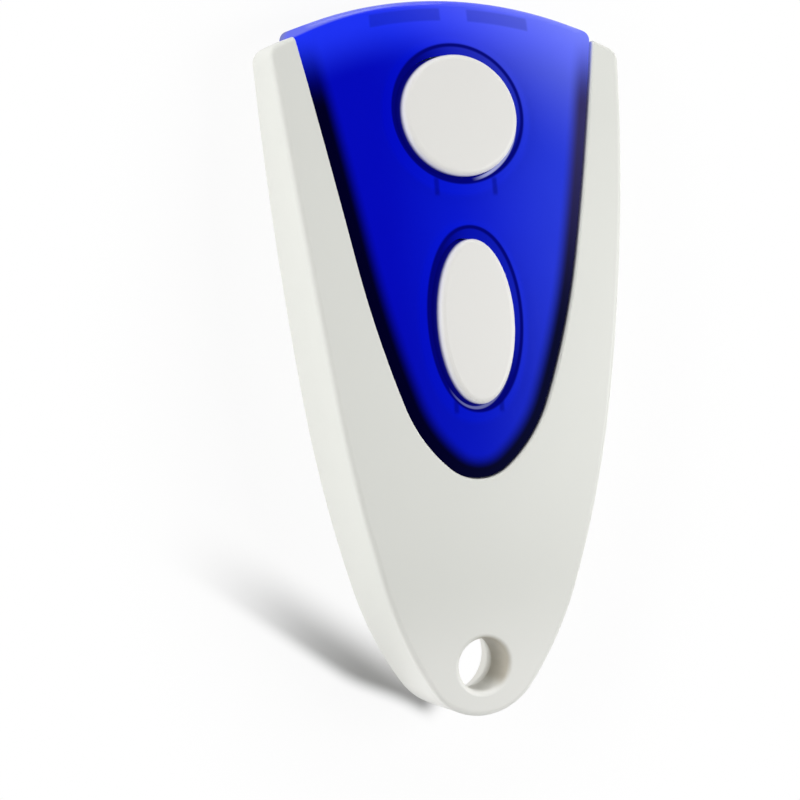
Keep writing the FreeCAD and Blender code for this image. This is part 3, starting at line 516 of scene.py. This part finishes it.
def coverWallShade(finish, x, y, side, body):
    # painted shade: the walls under the sides, seen dark through the clear plastic and darkest
    # on the left, are lost in the light near the end
    across = x.ramp(*cover["wallAcross"])
    low = finish.mix(across, cover["wallLeft"], cover["wallLow"])
    high = finish.mix(across, cover["wallLeft"], cover["wallHigh"])
    wall = finish.mix(y.ramp(*cover["wallRise"]), low, high)
    wallShade = side.fade(*cover["wallWidth"]) * y.fade(*cover["wallEnd"])
    return finish.mix(wallShade, body, wall)


def coverEnd(finish, x, z, end, body):
    # two hooks seen through the end, and a painted highlight along the end's rounded edge and
    # face, dimmer at its foot
    leftHook, rightHook = [x.band(*hook, cover["hookSoft"]) for hook in cover["hooks"]]
    hooks = (leftHook + rightHook) * end.band(*cover["hookReach"], cover["hookSoft"])
    body = finish.tint(body, 1.0 - hooks * cover["hookShade"])
    rimHighlightColour = finish.mix(z.ramp(*cover["rimRise"]), cover["rimFoot"], cover["rim"])
    width = cover["rimWidth"] - x * cover["rimLean"]
    return finish.mix((end - width).fade(*cover["rimEdge"]), body, rimHighlightColour)


def openingRing(finish, x, y, opening, body):
    # a ring of painted shade round a button, lighter where it catches the light, with a painted
    # glint at the button's foot
    centre, half, width = opening["centre"], opening["half"], opening["ring"]
    shift, side = cover["ringShift"], opening["glintSide"]
    across, along = x - centre[0], y - centre[1]
    drawn = outside(x, y, (centre[0] + shift[0], centre[1] + shift[1]), half)
    light = (across / half[0] + along / half[1]) * cover["lightScale"]
    light = light.ramp(*cover["lightReach"]) * cover["ringLight"]
    outline = drawn.band(width - cover["outlineWidth"], width, cover["outlineSoft"])
    ring = drawn.fade(width, width + cover["ringSoft"])
    ring = ring * (cover["ringShare"] - light * (1.0 - outline))
    body = finish.mix(ring, body, cover["ringBlue"])
    facing = (across * side[0] + along * side[1]) / finish.reach(x, y, centre)
    distance = outside(x, y, centre, half)
    glint = facing.ramp(*cover["glintTurn"])
    glint = glint * distance.band(*cover["glintReach"], cover["glintSoft"])
    body = finish.mix(glint * opening["glintShare"], body, cover["glint"])
    return body, distance.fade(*cover["mattRings"])


def markPair(finish, x, y, mark, body):
    across = (x - mark["centre"][0]).size() - mark["apart"]
    along = (y - mark["centre"][1]).size()
    dark = across.size().fade(*cover["markWidth"])
    dark = dark * along.fade(mark["length"], mark["length"] + cover["markSoft"])
    return finish.mix(dark * cover["markShare"], body, cover["ringBlue"])


def bluePlastic():
    # glossy and clear over dark walls: painted shade deep at its edges, painted light where the
    # end catches it, and edges and rings that glow in their painted colour
    finish = Finish("bluePlastic")
    x, y, z = finish.axes()
    side = sideDistance(finish, x, y)
    end = cover["endRadius"] - finish.reach(x, y, cover["endCentre"])
    body = coverBlues(finish, x, y, end)
    body = coverWallShade(finish, x, y, side, body)
    body = coverEnd(finish, x, z, end, body)
    glowShare = side.fade(*cover["mattSides"])
    for opening in cover["openings"]:
        body, near = openingRing(finish, x, y, opening, body)
        glowShare = glowShare.most(near)
    for mark in cover["marks"]:
        body = markPair(finish, x, y, mark, body)
    haze = finish.noise(*cover["haze"])
    scuffs = finish.noise(*cover["scuffs"], finish.stretched(*cover["scuffStreak"]))
    scuffs = scuffs.ramp(*cover["scuffReach"]).between(*cover["scuffRough"])
    body = finish.tint(body, haze.between(*cover["hazeTone"]))
    finish.set(BaseColor=body, Roughness=scuffs, SpecularIORLevel=cover["mirror"])
    finish.set(Normal=finish.bump(haze, *cover["hazeRelief"]))
    finish.overlay(glowShare, finish.glowingColour(body))  # the edges and rings glow in their painted colour and show no reflection of the room
    return finish


# the white mouldings: housing and buttons

housing = {
    "white": colour(222, 223, 217),
    "roughness": 0.42,
    "grainDepth": 0.012 * mm,
    # painted light: the tip is paler
    "tip": colour(236, 236, 231),
    "tipReach": (-34 * mm, -21 * mm),
    # painted shade
    "holeShade": colour(176, 170, 156),  # on the upper wall of the keyring hole
    "shadeSide": (0.87, 0.5),
    "shadeTurn": (-0.1, 0.5),
    "shadeReach": (2.5 * mm, 3.1 * mm),
    "shadeRise": (3.0 * mm, 4.6 * mm),
    # a painted glow
    "holeLight": colour(226, 225, 219),  # at the foot of the keyring hole
    "lightReach": (3.9 * mm, 4.2 * mm),
    "lightRise": (2.2 * mm, 3.8 * mm),
    "lightShare": 0.8,
}
buttons = {
    "white": colour(230, 229, 225),
    "roughness": 0.4,
    "grainDepth": 0.009 * mm,
    "crown": cadLow.y + 22.6 * mm,  # where the bowed front is highest
    "top": 10.3 * mm,
    "bow": 208.9 * mm,
    "rise": 1.35 * mm,
    # painted shade and blue reflection on the button's side, and a painted glow at its foot
    "flank": (0.3 * mm, 1.3 * mm),
    "flankTint": colour(52, 54, 122),
    "foot": (0.95 * mm, 1.4 * mm),
    "footShare": 0.9,
}
moulding = {
    "cloud": (90.0, 4.0, 0.6),
    "cloudTone": (0.985, 1.015),
    "grain": (5200.0, 2.0, 0.6),
    "grainStrength": 0.35,
    "wear": (220.0, 5.0, 0.65),
    "wearRough": (-0.05, 0.05),
    "mirror": 0.35,
}


def housingShades(finish):
    # painted light paler towards the tip, painted shade on the upper wall of the keyring hole,
    # and a painted glow at its foot standing for light from the floor
    x, y, z = finish.axes()
    side = housing["shadeSide"]
    body = finish.mix(y.fade(*housing["tipReach"]), housing["white"], housing["tip"])
    reach = finish.reach(x, y, keyringHole)
    facing = ((x - keyringHole[0]) * side[0] + (y - keyringHole[1]) * side[1]) / reach
    # painted shade on the upper wall of the hole
    upper = facing.ramp(*housing["shadeTurn"]) * reach.fade(*housing["shadeReach"])
    upper = upper * z.ramp(*housing["shadeRise"])
    # painted light: the foot of the hole glows
    footGlow = reach.fade(*housing["lightReach"]) * z.fade(*housing["lightRise"])
    finish.overlay(footGlow * housing["lightShare"], finish.glowingColour(housing["holeLight"]))
    return finish.mix(upper, body, housing["holeShade"])


def buttonShades(finish):
    # painted shade and a painted blue reflection on a button's side, from the ring round it,
    # and its foot glows in the ring's painted shade
    y, z = finish.axes()[1:]
    along = y - buttons["crown"]
    depth = buttons["top"] + buttons["rise"] - along * along / (2 * buttons["bow"]) - z
    foot = depth.ramp(*buttons["foot"]) * buttons["footShare"]
    finish.overlay(foot, finish.glowingColour(cover["ringBlue"]))
    return finish.mix(depth.ramp(*buttons["flank"]), buttons["white"], buttons["flankTint"])


def whitePlastic(name, piece, shades):
    # satin moulding: faint cloudiness, a fine even grain and a slow change of gloss
    finish = Finish(name)
    cloud = finish.noise(*moulding["cloud"]).between(*moulding["cloudTone"])
    grain = finish.noise(*moulding["grain"])
    wear = finish.noise(*moulding["wear"]).between(*moulding["wearRough"])
    finish.set(BaseColor=finish.tint(shades(finish), cloud))
    finish.set(Roughness=piece["roughness"] + wear, SpecularIORLevel=moulding["mirror"])
    finish.set(Normal=finish.bump(grain, piece["grainDepth"], moulding["grainStrength"]))
    return finish


# the parts inside

package = {
    "sand": (6000.0, 2.0, 0.7),
    "sandRelief": (0.015 * mm, 0.5),
    "rubbed": (500.0, 4.0, 0.6),
    "rubbedTone": (0.8, 1.2),
    "rubbedRough": (0.1, -0.1),
    "mirror": 0.4,
}


def darkPlastic(name, base, roughness):
    # moulded packages: a matt, slightly sandy skin with polished patches
    finish = Finish(name)
    sand = finish.noise(*package["sand"])
    rubbed = finish.noise(*package["rubbed"])
    finish.set(BaseColor=finish.tint(base, rubbed.between(*package["rubbedTone"])))
    finish.set(Roughness=roughness + rubbed.between(*package["rubbedRough"]))
    finish.set(Normal=finish.bump(sand, *package["sandRelief"]))
    finish.set(SpecularIORLevel=package["mirror"])
    return finish


metal = {
    "rolling": (700.0, 3.0, 0.6),
    "turning": (9000.0, 3.0),
    "lineRelief": (0.006 * mm, 0.5),
    "lineRough": 0.1,
    "tarnish": (260.0, 5.0, 0.65),
    "tarnishReach": (0.5, 0.8),
    "tarnishRough": 0.12,
    "tone": 0.86,
    "lineTone": 0.14,
    "tarnishTone": 0.12,
}


def sheetMetal(name, base, roughness, streak=(1.0, 14.0, 1.0), centre=None):
    # pressed sheet: rolling lines, or turned circles round a centre, and a little tarnish
    finish = Finish(name)
    if centre:
        x, y = finish.axes()[:2]
        lines = finish.rings(x, y, centre, *metal["turning"])
    else:
        lines = finish.noise(*metal["rolling"], finish.stretched(*streak))
    tarnish = finish.noise(*metal["tarnish"])
    shade = metal["tone"] + lines * metal["lineTone"] + tarnish * metal["tarnishTone"]
    dull = tarnish.ramp(*metal["tarnishReach"]) * metal["tarnishRough"]
    finish.set(BaseColor=finish.tint(base, shade), Metallic=1.0)
    finish.set(Roughness=roughness + lines * metal["lineRough"] + dull)
    finish.set(Normal=finish.bump(lines, *metal["lineRelief"]))
    return finish


board = {
    "weave": 9000.0,
    "weaveTone": 0.06,
    "weaveRelief": (0.01 * mm, 0.4),
    "cloud": (300.0, 4.0, 0.6),
    "cloudRough": (0.3, 0.42),
    "green": colour(14, 84, 44),
    "paleGreen": colour(26, 112, 60),
    "tone": 0.94,
    "mirror": 0.5,
}


def boardLacquer():
    # green lacquer over woven glass, with paler flecks in the weave
    finish = Finish("boardLacquer")
    x, y = finish.axes()[:2]
    weave = (x * board["weave"]).wave() * (y * board["weave"]).wave()
    cloud = finish.noise(*board["cloud"])
    green = finish.mix(cloud, board["green"], board["paleGreen"])
    finish.set(BaseColor=finish.tint(green, board["tone"] + weave * board["weaveTone"]))
    finish.set(Roughness=cloud.between(*board["cloudRough"]), SpecularIORLevel=board["mirror"])
    finish.set(Normal=finish.bump(weave, *board["weaveRelief"]))
    return finish


fired = {
    "specks": (4200.0, 2.0, 0.5),
    "speckReach": (0.58, 0.7),
    "speckShare": 0.5,
    "cloud": (700.0, 4.0, 0.6),
    "cloudTone": (0.92, 1.06),
    "cloudRough": (0.5, 0.65),
    "cloudRelief": (0.02 * mm, 0.4),
    "mirror": 0.4,
}


def ceramic(name, base, speck):
    # fired body: chalky, with fine darker specks
    finish = Finish(name)
    specks = finish.noise(*fired["specks"]).ramp(*fired["speckReach"])
    cloud = finish.noise(*fired["cloud"])
    body = finish.mix(specks * fired["speckShare"], base, speck)
    finish.set(BaseColor=finish.tint(body, cloud.between(*fired["cloudTone"])))
    finish.set(Roughness=cloud.between(*fired["cloudRough"]), SpecularIORLevel=fired["mirror"])
    finish.set(Normal=finish.bump(cloud, *fired["cloudRelief"]))
    return finish


lens = {
    "heart": (900.0, 3.0, 0.5),
    "heartRough": (0.12, 0.22),
    "red": colour(170, 14, 10),
    "paleRed": colour(236, 60, 40),
    "clear": 0.35,
    "ior": 1.5,
}


def lampLens():
    # clear red resin with a deeper heart
    finish = Finish("lampLens")
    heart = finish.noise(*lens["heart"])
    finish.set(BaseColor=finish.mix(heart, lens["red"], lens["paleRed"]))
    finish.set(Roughness=heart.between(*lens["heartRough"]))
    finish.set(TransmissionWeight=lens["clear"], IOR=lens["ior"])
    return finish


cellCentre = (0.0, cadLow.y + 25.0 * mm)
rotorLow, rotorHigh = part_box("trimmer_rotor")
rotorCentre = ((rotorLow.x + rotorHigh.x) / 2, (rotorLow.y + rotorHigh.y) / 2)
finishes = {
    "housing_white": whitePlastic("housingPlastic", housing, housingShades),
    "button_white": whitePlastic("buttonPlastic", buttons, buttonShades),
    "cover_blue": bluePlastic(),
    "board_green": boardLacquer(),
    "track_copper": sheetMetal("trackCopper", colour(214, 140, 96), 0.25, (9.0, 1.0, 1.0)),
    "cell_steel": sheetMetal("cellSteel", colour(205, 205, 202), 0.22, centre=cellCentre),
    "contact_metal": sheetMetal("contactMetal", colour(214, 206, 182), 0.28, (12.0, 1.0, 1.0)),
    "clip_metal": sheetMetal("clipMetal", colour(200, 200, 198), 0.3),
    "can_metal": sheetMetal("canMetal", colour(208, 206, 200), 0.3, (16.0, 2.0, 1.0)),
    "screw_steel": sheetMetal("screwSteel", colour(186, 187, 188), 0.3, (6.0, 6.0, 1.0)),
    "switch_steel": sheetMetal("switchSteel", colour(212, 212, 210), 0.26, (1.0, 10.0, 1.0)),
    "trimmer_brass": sheetMetal(
        "trimmerBrass", colour(216, 180, 104), 0.26, centre=rotorCentre
    ),
    "chip_black": darkPlastic("chipBlack", colour(36, 36, 38), 0.5),
    "switch_black": darkPlastic("switchBlack", colour(28, 28, 30), 0.38),
    "resistor_black": darkPlastic("resistorBlack", colour(42, 40, 40), 0.34),
    "capacitor_tan": ceramic("capacitorTan", colour(176, 142, 104), colour(120, 90, 60)),
    "trimmer_ceramic": ceramic("trimmerCeramic", colour(226, 220, 204), colour(190, 180, 160)),
    "lamp_lens": lampLens(),
}
slotOf = {part["node"]: part["material_slot"] for part in frame["record"]["subparts"]}
for name, node in nodes.items():
    node.data.materials.clear()
    node.data.materials.append(finishes[slotOf[name]].material)
print("finishes assigned:", len(finishes))
